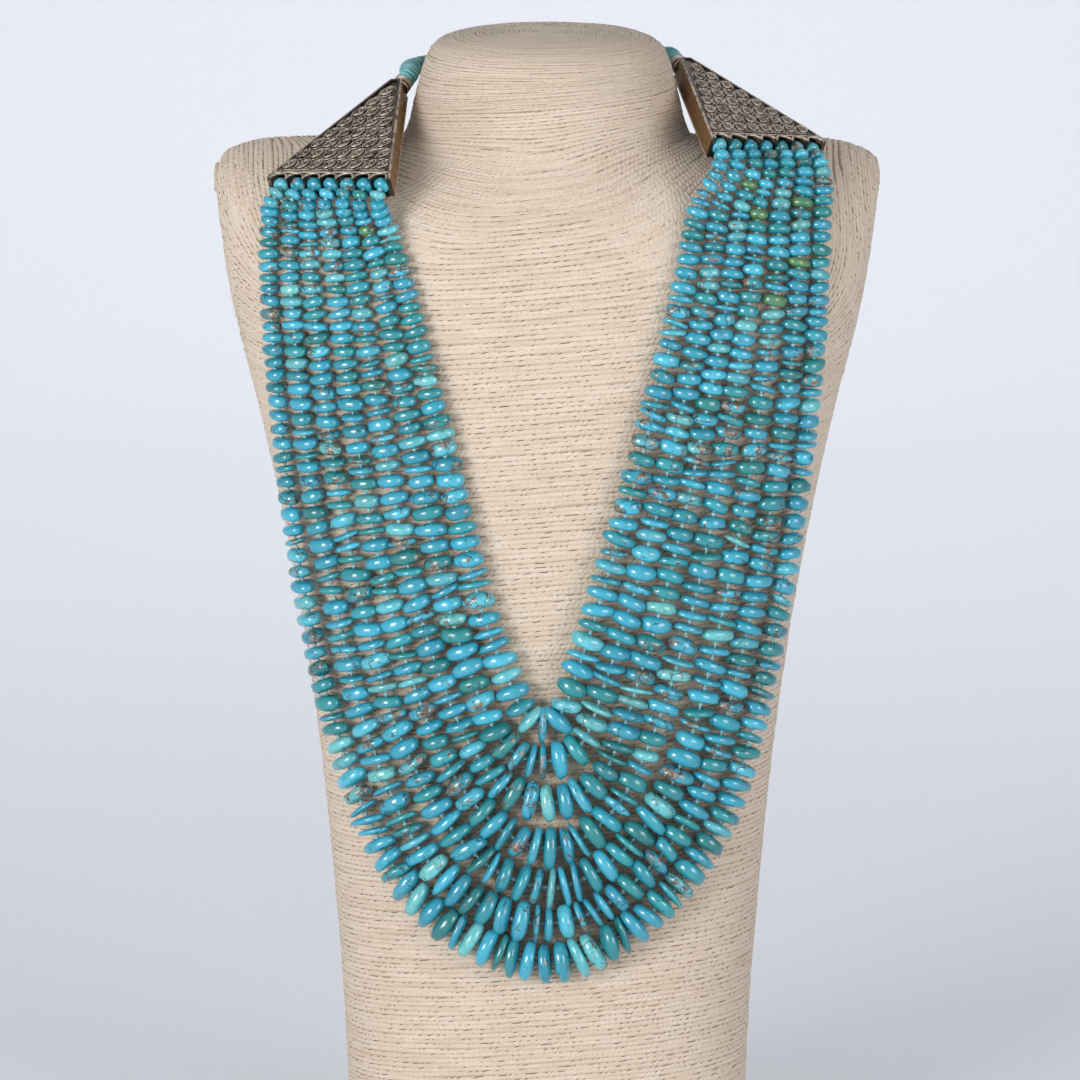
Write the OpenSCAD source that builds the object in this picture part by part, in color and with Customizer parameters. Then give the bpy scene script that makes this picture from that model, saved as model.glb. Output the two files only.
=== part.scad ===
// Layered necklace of seven graduated strings of turquoise discs between two
// triangular silver end caps, worn by a twine-wound neck bust.
// X runs to the viewer's right, Y away from the viewer, Z up. The origin is the
// centre of the bust's flat base.

/* [Bust] */
// Factor on the bust's depth, front and back
bust_depth = 1; // [0.98:0.01:1.04]
// Points in each ring of the bust's surface
bust_sides = 52; // [40:4:60]

/* [End caps] */
// Width of a cap along its open edge
cap_w = 44.2; // [44:0.1:45]
// Height of a cap from its open edge to its blunt tip
cap_h = 57; // [54:1:58]
// Thickness of a cap
cap_t = 7.2; // [7.1:0.1:7.4]
// Thickness of the sheet that a cap is made of
cap_wall = 0.7; // [0.6:0.05:0.8]
// Height of the raised filigree
relief_h = 0.5; // [0.3:0.1:0.6]
// Rows of oval motifs on a cap
motif_rows = 8; // [6:1:8]

/* [Beads] */
// Distance between the strings where they leave a cap
hole_pitch = 6.02; // [5.98:0.01:6.05]
// Radius of the smallest beads, at the caps
bead_r_cap = 2.6; // [2.4:0.05:2.6]
// Growth of the bead radius for each millimetre of string
bead_r_growth = 0.01; // [0.009:0.0005:0.01]
// Spacing of the smallest beads
bead_pitch_cap = 3.3; // [3.2:0.1:3.5]
// Spacing of the largest beads
bead_pitch_low = 5.2; // [5.1:0.1:5.4]
// Thickness of a bead as a share of its spacing
bead_fill = 0.6; // [0.5:0.01:0.62]
// Radius of the hole drilled through a bead
bead_bore_r = 1; // [0.95:0.05:1.05]
// Radius of the stringing thread
thread_r = 0.3; // [0.25:0.05:0.3]

/* [Neck cord] */
// Radius of the cord behind the neck
cord_r = 3.1; // [2.8:0.1:3.1]

/* [Hidden] */

twine_colour = [0.80, 0.71, 0.60];
silver_colour = [0.42, 0.38, 0.36];
turquoise_colour = [0.20, 0.62, 0.74];
thread_colour = [0.45, 0.74, 0.74];

// What lies on the bust stays this far off it
seat_gap = 0.5;

// Cross-sections of the shoulders and body: height, half width, depth in front of
// the axis, depth behind it, and the exponent that squares the outline off
BODY_W = 1;
BODY_FRONT = 2;
BODY_BACK = 3;
BODY_EXP = 4;
body_rows = [
    [0, 65.5, 41, 38, 2.5],
    [33, 66.5, 42, 38, 2.5],
    [65, 68, 44, 39, 2.5],
    [103, 71, 46.5, 40, 2.45],
    [130, 73.5, 48, 40, 2.4],
    [160, 77, 49.5, 41, 2.35],
    [200, 83, 51, 42, 2.3],
    [255, 93, 52, 43, 2.3],
    [285, 99.5, 51, 43, 2.4],
    [305, 103.5, 48.5, 42, 2.55],
    [320, 106.5, 43.5, 39, 2.65],
    [331, 108, 35.5, 33, 2.7],
    [336, 107.8, 27.5, 28, 2.7],
    [340, 106.8, 20.5, 23, 2.7],
    [343, 104.5, 14, 17, 2.7],
    [345.5, 97, 7, 9, 2.7],
];
body_top = 345.6;

// Cross-sections of the neck and the slope at its foot, all ellipses: height,
// half width, depths
neck_rows = [
    [220, 50, 25, 20],
    [255, 66, 38, 30],
    [285, 77, 46, 37],
    [305, 77, 46.5, 38.5],
    [322, 69, 44.5, 38],
    [333, 61, 42.5, 37],
    [341, 52, 39.5, 36],
    [348, 46.5, 37, 35],
    [357, 44, 35.5, 34],
    [364, 42.3, 34.5, 33.5],
    [370, 40.5, 33.5, 33],
    [374.5, 38.5, 31, 31.5],
    [377.2, 35, 27.5, 28.5],
    [378.8, 28, 21, 22],
    [379.4, 14, 10.5, 10.5],
];
neck_exp = 2;
// The top of the neck falls toward the front by this slope, which grows in
// between the two heights
top_slope = 0.14;
slope_from = 345;
slope_to = 370;
// Sharpness of the fillet between the neck and the shoulders
union_exp = 7;
// Rings crowd toward the shoulder ends by this factor
side_crowding = 0.5;

ring_heights = [
    for (z = [0 : 20 : 240]) z,
    254, 267, 279, 290, 300, 308.5, 316, 323, 329, 334, 338, 341, 343.5, 345.4,
    346.3, 348.5, 352, 357, 362, 367, 371.5, 374.5, 376.6, 378, 378.9, 379.4];

// Depths between which front_y looks for the bust's front, and how often it
// halves that range
search_front = -75;
search_near = -0.5;
search_steps = 15;
// Step over which the slope of the bust's front is measured
probe = 1.5;

// Value of a column at a height, on a smooth curve through the rows
function row_below(rows, z, i = 0) =
    i >= len(rows) - 2 || rows[i + 1][0] > z ? i : row_below(rows, z, i + 1);
function hermite(a, b, c, d, fa, fb, fc, fd, t) =
    let (m0 = (fc - fa) / (c - a) * (c - b),
         m1 = (fd - fb) / (d - b) * (c - b))
    (2 * t ^ 3 - 3 * t ^ 2 + 1) * fb + (t ^ 3 - 2 * t ^ 2 + t) * m0
    + (3 * t ^ 2 - 2 * t ^ 3) * fc + (t ^ 3 - t ^ 2) * m1;
function column_at(rows, z, col) =
    let (i = row_below(rows, z),
         last = len(rows) - 1,
         a = rows[max(i - 1, 0)],
         b = rows[i],
         c = rows[i + 1],
         d = rows[min(i + 2, last)],
         before = i == 0 ? b[0] - 1 : a[0],
         after = i + 2 > last ? c[0] + 1 : d[0])
    hermite(before, b[0], c[0], after, a[col], b[col], c[col], d[col],
        min(1, max(0, (z - b[0]) / (c[0] - b[0]))));

// Distance from the axis to a rounded outline in the direction a
function outline_r(w, front, back, n, a) =
    let (depth = (sin(a) < 0 ? front : back) * bust_depth)
    (abs(cos(a) / w) ^ n + abs(sin(a) / depth) ^ n) ^ (-1 / n);
function body_r(z, a) =
    z > body_top ? 0 : outline_r(column_at(body_rows, z, BODY_W),
        column_at(body_rows, z, BODY_FRONT), column_at(body_rows, z, BODY_BACK),
        column_at(body_rows, z, BODY_EXP), a);
function neck_r(z, a) =
    z < neck_rows[0][0] ? 0 : outline_r(column_at(neck_rows, z, BODY_W),
        column_at(neck_rows, z, BODY_FRONT), column_at(neck_rows, z, BODY_BACK),
        neck_exp, a);
function bust_r(z, a) =
    let (body = body_r(z, a),
         neck = neck_r(z, a),
         big = max(body, neck),
         small = min(body, neck))
    big * (1 + (small / big) ^ union_exp) ^ (1 / union_exp);
function slope_share(z) =
    min(1, max(0, (z - slope_from) / (slope_to - slope_from)));
function bust_point(z, a) =
    let (r = bust_r(z, a),
         y = r * sin(a))
    [r * cos(a), y, z + top_slope * y * slope_share(z)];

// Depth of the bust's front at a place, found by halving the range again and again
function front_y(x, z, far = search_front, near = search_near, steps = search_steps) =
    let (mid = (far + near) / 2)
    steps == 0 ? mid
    : norm([x, mid]) > bust_r(z, atan2(mid, x))
        ? front_y(x, z, mid, near, steps - 1)
        : front_y(x, z, far, mid, steps - 1);
// Centre of something round that lies on the bust's front
function laid(x, z, r) =
    let (dx = (front_y(x + probe, z) - front_y(x - probe, z)) / (2 * probe),
         dz = (front_y(x, z + probe) - front_y(x, z - probe)) / (2 * probe))
    [x, front_y(x, z) - (r + seat_gap) * sqrt(1 + dx ^ 2 + dz ^ 2), z];

// Middle of each cap's open edge on its front face, and the turns that lay it
// over the shoulder
left_cap_at = [-69.8, -47, 335.4];
left_cap_turn = [30.5, -2, -25];
right_cap_at = [71.2, -33.5, 346.8];
right_cap_turn = [24.7, 4, 30];

function turned(v, t) =
    let (cx = cos(t.x), sx = sin(t.x), cy = cos(t.y), sy = sin(t.y),
         cz = cos(t.z), sz = sin(t.z),
         a = [v.x * cy + v.z * sy, v.y, v.z * cy - v.x * sy],
         b = [a.x, a.y * cx - a.z * sx, a.y * sx + a.z * cx])
    [b.x * cz - b.y * sz, b.x * sz + b.y * cz, b.z];
function cap_point(at, turn, p) = at + turned(p - [0, 0, cap_t], turn);

// A string leaves the middle of its hole: its points on the left cap and the
// right one, so far along the cap's height
function hole_x(number) = (number - 4) * hole_pitch;
function left_exit(number, y) =
    cap_point(left_cap_at, left_cap_turn, [hole_x(number), y, cap_t / 2]);
function right_exit(number, y) =
    cap_point(right_cap_at, right_cap_turn, [-hole_x(number), y, cap_t / 2]);

// Routes of the strings over the chest, across and up, from the left cap to the
// right one. String 1 is the outermost.
routes = [
    [[-89, 317], [-89, 300], [-87, 265], [-83.5, 230], [-78, 196], [-70.5, 162],
        [-59, 128.5], [-43.2, 102.8], [-23, 88], [1, 81], [22, 89], [42, 105.5],
        [58, 129], [68, 161.5], [75.5, 196], [81, 230], [85, 265], [87, 300],
        [88, 322]],
    [[-82, 317], [-82, 300], [-79, 262], [-75, 228], [-68, 196], [-60.5, 163],
        [-48, 130], [-35.5, 111], [-18, 98.5], [0, 94.5], [17, 99.5], [33.5, 113],
        [48.2, 132.4], [58.5, 163], [66, 196], [72, 228], [77, 262], [80, 300],
        [81, 322]],
    [[-76, 317], [-75, 300], [-71, 262], [-66, 228], [-59, 196], [-51, 165],
        [-43.5, 146.5], [-31.5, 126], [-16, 111.5], [1, 106.5], [14, 110.5],
        [28.5, 122.5], [41, 141], [49.5, 165.5], [56.5, 196], [63, 228], [68, 262],
        [73, 300], [74, 322]],
    [[-69.3, 317], [-67, 300], [-62.5, 262], [-57, 228], [-50, 196], [-40.5, 165.5],
        [-32.5, 147.5], [-23.5, 134], [-12, 123.5], [1, 119.5], [13, 123.5],
        [25, 137], [35.2, 159], [45.5, 192], [53, 226], [59, 262], [65, 300],
        [67, 322]],
    [[-62.7, 317], [-60, 300], [-54, 262], [-48, 228], [-41, 196], [-31, 166.5],
        [-23, 150.5], [-12.5, 138.5], [1, 134.5], [13.5, 138.5], [22.3, 152],
        [28.5, 171.5], [36.5, 198], [44, 228], [51, 262], [58, 300], [61, 322]],
    [[-56.5, 317], [-52, 300], [-45, 262], [-38, 228], [-31, 196], [-21, 167],
        [-15, 155.5], [-7.5, 149], [4, 149], [12, 155], [18, 172], [26, 197],
        [35, 228], [43, 262], [51, 300], [54, 322]],
    [[-50, 317], [-45, 300], [-36, 262], [-28, 228], [-21, 197], [-12, 174],
        [-8.5, 166], [-4, 161], [2, 161], [6, 166], [8.5, 174.5], [15, 194],
        [25, 228], [34, 262], [43, 300], [47, 322]],
];
// How far a thread runs up inside a cap, and where the first bead hangs
thread_inside = 5;
first_bead_at = 0.4;

// Rounded curve through points, so many steps for each stretch
function curve_point(p, i, t) =
    let (last = len(p) - 1,
         a = p[max(i - 1, 0)],
         b = p[i],
         c = p[min(i + 1, last)],
         d = p[min(i + 2, last)])
    0.5 * (2 * b + (c - a) * t + (2 * a - 5 * b + 4 * c - d) * t ^ 2
        + (3 * b - a - 3 * c + d) * t ^ 3);
function smooth_curve(p, steps) = [
    for (i = [0 : len(p) - 2])
    for (k = [0 : steps - 1]) curve_point(p, i, k / steps),
    p[len(p) - 1]];
function lengths(p, i = 0, sum = 0) =
    i == len(p) - 1 ? [sum]
    : concat([sum], lengths(p, i + 1, sum + norm(p[i + 1] - p[i])));
function at_length(p, run, s) = [
    for (axis = [0 : 2]) lookup(s, [for (i = [0 : len(p) - 1]) [run[i], p[i][axis]]])];

function bead_r(s) = bead_r_cap + bead_r_growth * s;

// A string bends from the direction of its hole a to the line of the chest c, d
function unit(v) = v / norm(v);
function bend(a, inside, c, d, t) =
    let (b1 = a + bend_pull * unit(a - inside),
         b2 = c + bend_pull * unit(c - d))
    (1 - t) ^ 3 * a + 3 * (1 - t) ^ 2 * t * b1 + 3 * (1 - t) * t ^ 2 * b2 + t ^ 3 * c;
// The line that a string's beads lie along
function string_line(number) =
    let (flat = smooth_curve([for (p = routes[number - 1]) [p.x, 0, p.y]], curve_steps),
         run = lengths(flat),
         last = len(flat) - 1,
         chest = [for (i = [0 : last])
            laid(flat[i].x, flat[i].z,
                bead_r(min(run[i], run[last] - run[i]) + lead_in))],
         left = left_exit(number, first_bead_at),
         right = right_exit(number, first_bead_at))
    [for (k = [0 : bend_steps - 1])
        bend(left, left_exit(number, thread_inside), chest[0], chest[1], k / bend_steps),
        each chest,
        for (k = [bend_steps - 1 : -1 : 0])
            bend(right, right_exit(number, thread_inside), chest[last],
                chest[last - 1], k / bend_steps)];
// Length of string between a cap and the first point on the chest
lead_in = 22;
curve_steps = 2;
bend_steps = 5;
bend_pull = 9;

// Distances of the beads along half a string: their spacing grows evenly down to
// where the largest beads begin
largest_from = 130;
pitch_growth = (bead_pitch_low - bead_pitch_cap) / largest_from;
small_count = ln(bead_pitch_low / bead_pitch_cap) / pitch_growth;
function bead_s(n) =
    n < small_count ? bead_pitch_cap * (exp(pitch_growth * n) - 1) / pitch_growth
    : largest_from + (n - small_count) * bead_pitch_low;
function bead_places(whole) =
    let (half = whole / 2,
         full = small_count + (half - largest_from) / bead_pitch_low,
         count = round(full))
    [for (i = [0 : 2 * count])
        i <= count ? bead_s(i * full / count)
        : whole - bead_s((2 * count - i) * full / count)];
function bead_pitch(s) = bead_pitch_cap + pitch_growth * min(s, largest_from);

// Ring of points square to a line
function ring(centre, along, r, sides) =
    let (t = along / norm(along),
         side = cross([0, 1, 0], t),
         u = side / norm(side),
         v = cross(t, u))
    [for (k = [0 : sides - 1])
        centre + r * (cos(k * 360 / sides) * u + sin(k * 360 / sides) * v)];

// Closed solid through rings of equally many points, capped at both ends
module loft(rings) {
    n = len(rings[0]);
    m = len(rings);
    points = [for (r = rings) for (p = r) p];
    sides = [
        for (i = [0 : m - 2])
        for (k = [0 : n - 1])
            let (a = i * n + k, b = i * n + (k + 1) % n)
            each [[a, a + n, b], [b, a + n, b + n]]];
    polyhedron(points = points, convexity = 8, faces = concat(
        [[for (k = [0 : n - 1]) k]],
        sides,
        [[for (k = [n - 1 : -1 : 0]) (m - 1) * n + k]]));
}

// Tube along a line, with a radius for each of its points
module tube(line, radii, sides) {
    last = len(line) - 1;
    loft([for (i = [0 : last])
        ring(line[i], line[min(i + 1, last)] - line[max(i - 1, 0)], radii[i], sides)]);
}

module bust() {
    color(twine_colour)
    loft([for (z = ring_heights)
        [for (k = [0 : bust_sides - 1])
            let (step = k * 360 / bust_sides)
            bust_point(z, atan2(side_crowding * sin(step), cos(step)))]]);
}

// Outline of a cap, drawn in from its edge by inset
cap_tip_w = 3.8;
function cap_outline(inset) =
    let (lean = atan2((cap_w - cap_tip_w) / 2, cap_h),
         side = inset / cos(lean),
         low = cap_w / 2 - side - inset * tan(lean),
         high = cap_tip_w / 2 - side + inset * tan(lean))
    [[-low, inset], [low, inset], [high, cap_h - inset], [-high, cap_h - inset]];

// One oval motif of the filigree, an oval ring round a smaller oval
motif_l = 5.4;
motif_w = 3.6;
motif_wire = 0.55;
motif_eye = 0.34;
motif_tilt = 62;
motif_sides = 12;
module oval(l, w) {
    polygon([for (k = [0 : motif_sides - 1])
        [l / 2 * cos(k * 360 / motif_sides), w / 2 * sin(k * 360 / motif_sides)]]);
}
module motif() {
    rotate(motif_tilt) {
        difference() {
            oval(motif_l, motif_w);
            oval(motif_l - 2 * motif_wire, motif_w - 2 * motif_wire);
        }
        oval(motif_l * motif_eye, motif_w * motif_eye);
    }
}

// Where the motifs stand: rows that lose one motif each toward the tip
rim_h = 4.2;
field_top = 4.5;
motif_pitch = 4.85;
row_pitch = (cap_h - rim_h - field_top) / motif_rows;
// Wire along the sloping edges, and the one across above the scallops
edge_wire_in = 0.35;
edge_wire_w = 0.8;
rim_wire_in = 2.2;
rim_wire_drop = 0.9;
rim_wire_w = 0.6;
module filigree() {
    for (row = [0 : motif_rows - 1])
    for (i = [0 : motif_rows - 1 - row])
        translate([(i - (motif_rows - 1 - row) / 2) * motif_pitch,
            rim_h + (row + 0.5) * row_pitch])
        motif();
    difference() {
        polygon(cap_outline(edge_wire_in));
        polygon(cap_outline(edge_wire_in + edge_wire_w));
        square([cap_w, 2 * rim_h], center = true);
    }
    translate([rim_wire_in - cap_w / 2, rim_h - rim_wire_drop])
    square([cap_w - 2 * rim_wire_in, rim_wire_w]);
}

// Round seat for the neck cord at the tip of a cap
collar_r = 2.8;
collar_l = 3.5;
collar_sunk = 1.5;
hole_r = 2.9;
notch_drop = 0.4;
hole_depth = 3.4;
hole_from = -1;
floor_t = 0.9;
// The sloping walls are thicker than the sheet by this much
side_extra = 0.6;
// How far the filigree sinks into the sheet below it
relief_sunk = 0.1;
round_sides = 48;
module cap() {
    difference() {
        union() {
            linear_extrude(cap_t)
            polygon(cap_outline(0));
            translate([0, 0, cap_t - relief_sunk])
            linear_extrude(relief_h + relief_sunk)
            filigree();
            translate([0, cap_h - collar_sunk, cap_t / 2])
            rotate([-90, 0, 0])
            cylinder(r = collar_r, h = collar_l + collar_sunk, $fn = round_sides);
        }
        translate([0, floor_t, cap_wall])
        linear_extrude(cap_t - 2 * cap_wall)
        polygon(cap_outline(cap_wall + side_extra));
        for (number = [1 : 7]) {
            translate([hole_x(number), hole_from, cap_t / 2])
            rotate([-90, 0, 0])
            cylinder(r = hole_r, h = hole_depth, $fn = round_sides);
            translate([hole_x(number), -notch_drop, cap_t / 2])
            cylinder(r = hole_r, h = cap_t, $fn = round_sides);
        }
    }
}
module placed_cap(at, turn) {
    color(silver_colour)
    translate(at)
    rotate([0, 0, turn.z])
    rotate([turn.x, 0, 0])
    rotate([0, turn.y, 0])
    translate([0, 0, -cap_t])
    cap();
}
module left_cap() {
    placed_cap(left_cap_at, left_cap_turn);
}
module right_cap() {
    placed_cap(right_cap_at, right_cap_turn);
}

// A drilled disc, thick in the middle and thin at its rim
bead_shoulder = 0.55;
bead_rim = 0.3;
bead_sides = 24;
module bead(r, thick) {
    rotate_extrude($fn = bead_sides)
    polygon([[bead_bore_r, -thick / 2], [r * bead_shoulder, -thick / 2],
        [r, -thick * bead_rim / 2], [r, thick * bead_rim / 2],
        [r * bead_shoulder, thick / 2], [bead_bore_r, thick / 2]]);
}
module bead_string(number) {
    line = string_line(number);
    run = lengths(line);
    whole = run[len(run) - 1];
    places = bead_places(whole);
    middle = thread_points(number, line, run, places);
    color(turquoise_colour)
    for (i = [0 : len(places) - 1]) {
        from_cap = min(places[i], whole - places[i]);
        along = middle[i + 2] - middle[i];
        translate(middle[i + 1])
        rotate([0, acos(along.z / norm(along)), atan2(along.y, along.x)])
        bead(bead_r(from_cap), bead_fill * bead_pitch(from_cap));
    }
}

// The thread bends only inside the beads, and each bead sits square to it
function thread_points(number, line, run, places) = [
    left_exit(number, thread_inside),
    for (s = places) at_length(line, run, s),
    right_exit(number, thread_inside)];
thread_sides = 6;
module thread(number) {
    line = string_line(number);
    run = lengths(line);
    middle = thread_points(number, line, run, bead_places(run[len(run) - 1]));
    color(thread_colour)
    tube(middle, [for (p = middle) thread_r], thread_sides);
}

// A string of which only the outer shape is built
strand_sides = 10;
module strand(number) {
    line = string_line(number);
    run = lengths(line);
    last = len(line) - 1;
    color(turquoise_colour)
    tube(line, [for (i = [0 : last]) bead_r(min(run[i], run[last] - run[i]))], strand_sides);
}
module beads_outer() {
    bead_string(1);
}
module thread_outer() {
    thread(1);
}
module strand_2() {
    strand(2);
}
module strand_3() {
    strand(3);
}
module strand_4() {
    strand(4);
}
module strand_5() {
    strand(5);
}
module strand_6() {
    strand(6);
}
module beads_inner() {
    bead_string(7);
}
module thread_inner() {
    thread(7);
}

// Route of the neck cord from collar to collar round the back of the neck
cord_route = [[-45, 17.5, 367], [-38.5, 28, 368], [-29, 35, 368], [-16, 39, 368],
    [0, 40, 368], [16, 39, 368], [29, 34.5, 369], [37, 27.5, 370]];
cord_sides = 10;
cord_steps = 2;
// Length over which the cord runs straight on from its collar
cord_lead = 4.5;
// The cord starts this far beyond the collar
cord_gap = 0.75;
module neck_cord() {
    starts_at = cap_h + collar_l + cord_gap;
    line = smooth_curve([
        for (y = [starts_at, starts_at + cord_lead])
            cap_point(left_cap_at, left_cap_turn, [0, y, cap_t / 2]),
        each cord_route,
        for (y = [starts_at + cord_lead, starts_at])
            cap_point(right_cap_at, right_cap_turn, [0, y, cap_t / 2])], cord_steps);
    color(thread_colour)
    tube(line, [for (p = line) cord_r], cord_sides);
}

bust();
left_cap();
right_cap();
beads_outer();
thread_outer();
strand_2();
strand_3();
strand_4();
strand_5();
strand_6();
beads_inner();
thread_inner();
neck_cord();
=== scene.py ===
from contextlib import contextmanager
import math
import random

import bpy
from mathutils import Matrix, Vector, noise
from mathutils.bvhtree import BVHTree
from mathutils.kdtree import KDTree


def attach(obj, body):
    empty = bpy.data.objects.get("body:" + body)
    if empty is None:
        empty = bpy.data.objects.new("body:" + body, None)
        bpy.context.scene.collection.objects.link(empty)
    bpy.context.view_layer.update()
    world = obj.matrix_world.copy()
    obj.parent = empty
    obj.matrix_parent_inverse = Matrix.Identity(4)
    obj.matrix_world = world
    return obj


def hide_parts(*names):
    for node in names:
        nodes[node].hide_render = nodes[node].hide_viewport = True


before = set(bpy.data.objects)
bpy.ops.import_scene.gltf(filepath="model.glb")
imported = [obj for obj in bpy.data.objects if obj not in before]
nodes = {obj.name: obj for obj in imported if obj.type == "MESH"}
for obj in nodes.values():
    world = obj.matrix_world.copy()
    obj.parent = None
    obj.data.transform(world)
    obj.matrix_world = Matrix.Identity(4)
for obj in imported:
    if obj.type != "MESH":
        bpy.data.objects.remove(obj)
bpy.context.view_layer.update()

mm = 0.001


def pickOnly(*objects):
    bpy.ops.object.select_all(action="DESELECT")
    for item in objects:
        item.select_set(True)
    bpy.context.view_layer.objects.active = objects[0]


@contextmanager
def editing(pick="SELECT"):  # edit mode for the active mesh
    bpy.ops.object.mode_set(mode="EDIT")
    if pick:
        bpy.ops.mesh.select_all(action=pick)
    yield
    bpy.ops.object.mode_set(mode="OBJECT")


def joined(objects, name):
    pickOnly(*objects)
    if len(objects) > 1:
        bpy.ops.object.join()
    piece = bpy.context.view_layer.objects.active
    piece.name = name
    piece.data.name = name
    pickOnly(piece)
    bpy.ops.object.transform_apply(location=True, rotation=True, scale=True)
    bpy.ops.object.shade_smooth()
    return piece


def newPiece(name, mesh):
    piece = bpy.data.objects.new(name, mesh)
    bpy.context.collection.objects.link(piece)
    return piece


def copyOf(model, name, matrix):
    piece = newPiece(name, model.data.copy())
    piece.data.transform(matrix)
    return piece


def coat(piece, material):
    piece.data.materials.clear()
    piece.data.materials.append(material)


def aim(item, at, target):
    item.rotation_euler = (Vector(target) - Vector(at)).to_track_quat("-Z", "Y").to_euler()


def smooth(t):
    t = min(1, max(0, t))
    return t * t * (3 - 2 * t)


def ramp(value, start, over):  # 0 up to the start, then easing to 1
    return smooth((value - start) / over)


def tint(red, green, blue):  # a colour as a picture gives it, 0 to 255
    def light(c):
        c = c / 255
        return c / 12.92 if c <= 0.04045 else ((c + 0.055) / 1.055) ** 2.4
    return (light(red), light(green), light(blue), 1)


# shader maths: a socket that can be added, scaled and so on
class Socket:
    def __init__(self, paint, end):
        self.paint, self.end = paint, end

    def other(self, name):
        return Socket(self.paint, self.end.node.outputs[name])

    def maths(self, operation, first, second):
        return self.paint.add("ShaderNodeMath", {"operation": operation}, {0: first, 1: second})

    def __add__(self, value):
        return self.maths("ADD", self, value)

    def __sub__(self, value):
        return self.maths("SUBTRACT", self, value)

    def __mul__(self, value):
        return self.maths("MULTIPLY", self, value)

    def __truediv__(self, value):
        return self.maths("DIVIDE", self, value)

    def __rsub__(self, value):
        return self.maths("SUBTRACT", value, self)

    def single(self, operation):  # maths on this number alone
        return self.paint.add("ShaderNodeMath", {"operation": operation}, {0: self})


class Paint:
    def __init__(self, name):
        self.material = bpy.data.materials.new(name)
        self.material.use_nodes = True
        self.tree = self.material.node_tree
        self.shader = self.tree.nodes["Principled BSDF"]

    def feed(self, node, sockets):
        for key, value in sockets.items():
            if isinstance(value, Socket):
                self.tree.links.new(value.end, node.inputs[key])
            else:
                node.inputs[key].default_value = value

    def add(self, kind, settings=None, sockets=None, out=0):
        node = self.tree.nodes.new(kind)
        for key, value in (settings or {}).items():
            if key == "stops":
                ramp = node.color_ramp
                while len(ramp.elements) < len(value):
                    ramp.elements.new(0.5)
                for element, (place, colour) in zip(ramp.elements, value):
                    element.position = place
                    element.color = colour
            else:
                setattr(node, key, value)
        self.feed(node, sockets or {})
        return Socket(self, node.outputs[out])

    def shifted(self, where, by, amount):
        by = self.add("ShaderNodeVectorMath", {"operation": "SCALE"}, {0: by, "Scale": amount})
        return self.add("ShaderNodeVectorMath", {"operation": "ADD"}, {0: where, 1: by})

    def mix(self, share, first, second):
        return self.add("ShaderNodeMix", {"data_type": "RGBA"}, {0: share, 6: first, 7: second}, out=2)

    def over(self, under, colour, value, low, high, most=1.0):  # a colour where a value is high
        return self.mix(self.ranged(value, low, high, 0.0, most), under, colour)

    def ranged(self, value, low, high, toLow=0.0, toHigh=1.0):
        return self.add("ShaderNodeMapRange", {"interpolation_type": "SMOOTHSTEP"},
                        {0: value, 1: low, 2: high, 3: toLow, 4: toHigh})

    def grain(self, where, scale, detail=2.0, rough=0.5):
        return self.add("ShaderNodeTexNoise", {},
                        {"Vector": where, "Scale": scale, "Detail": detail, "Roughness": rough})

    def places(self):
        return self.add("ShaderNodeTexCoord").other("Object")

    def bump(self, height, strength, depth):
        return self.add("ShaderNodeBump", {},
                        {"Height": height, "Strength": strength, "Distance": depth})

    def done(self, sockets):
        self.feed(self.shader, sockets)
        return self.material


# camera
cameraSet = {
    "at": (-0.0023, -1.6835, 0.4492), "target": (-0.0023, 0, 0.2126),
    "lens": 171.7, "sensor": 36, "nearest": 0.05,
}

bpy.ops.object.camera_add(location=cameraSet["at"])
camera = bpy.context.object
camera.name = "studioCamera"
aim(camera, cameraSet["at"], cameraSet["target"])
camera.data.lens = cameraSet["lens"]
camera.data.sensor_width = cameraSet["sensor"]
camera.data.clip_start = cameraSet["nearest"]
bpy.context.scene.camera = camera
print("camera set")

# where the caps lie, in millimetres and degrees as in the part's source
caps = {
    "left": {"at": (-69.8, -47, 335.4), "turn": (30.5, -2, -25)},
    "right": {"at": (71.2, -33.5, 346.8), "turn": (24.7, 4, 30)},
    "width": 44.2, "height": 57, "thick": 7.2, "tipWidth": 3.8,
    "collarLength": 3.5, "collarRadius": 2.8, "holePitch": 6.02,
}


def capPlace(side):  # from a cap's own millimetres to the row's metres
    x, y, z = (math.radians(a) for a in caps[side]["turn"])
    turn = Matrix.Rotation(z, 4, "Z") @ Matrix.Rotation(x, 4, "X") @ Matrix.Rotation(y, 4, "Y")
    return (Matrix.Scale(mm, 4) @ Matrix.Translation(caps[side]["at"]) @ turn
            @ Matrix.Translation((0, 0, -caps["thick"])))


place = {"left": capPlace("left"), "right": capPlace("right")}


def roundCurve(points, steps):
    line = []
    last = len(points) - 1
    for i in range(last):
        a, b = points[max(i - 1, 0)], points[i]
        c, d = points[i + 1], points[min(i + 2, last)]
        for k in range(steps):
            t = k / steps
            line.append(0.5 * (2 * b + (c - a) * t + (2 * a - 5 * b + 4 * c - d) * t * t
                               + (3 * b - a - 3 * c + d) * t ** 3))
    return line + [points[last]]


def runOf(line):
    run = [0.0]
    for a, b in zip(line, line[1:]):
        run.append(run[-1] + (b - a).length)
    return run


def atLength(line, run, s):
    s = min(max(s, 0), run[-1])
    i = 0
    while i < len(run) - 2 and run[i + 1] < s:
        i += 1
    return line[i].lerp(line[i + 1], (s - run[i]) / max(run[i + 1] - run[i], 1e-9))


def evenly(line, step):
    run = runOf(line)
    count = max(2, round(run[-1] / step))
    return [atLength(line, run, run[-1] * k / count) for k in range(count + 1)]


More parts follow.
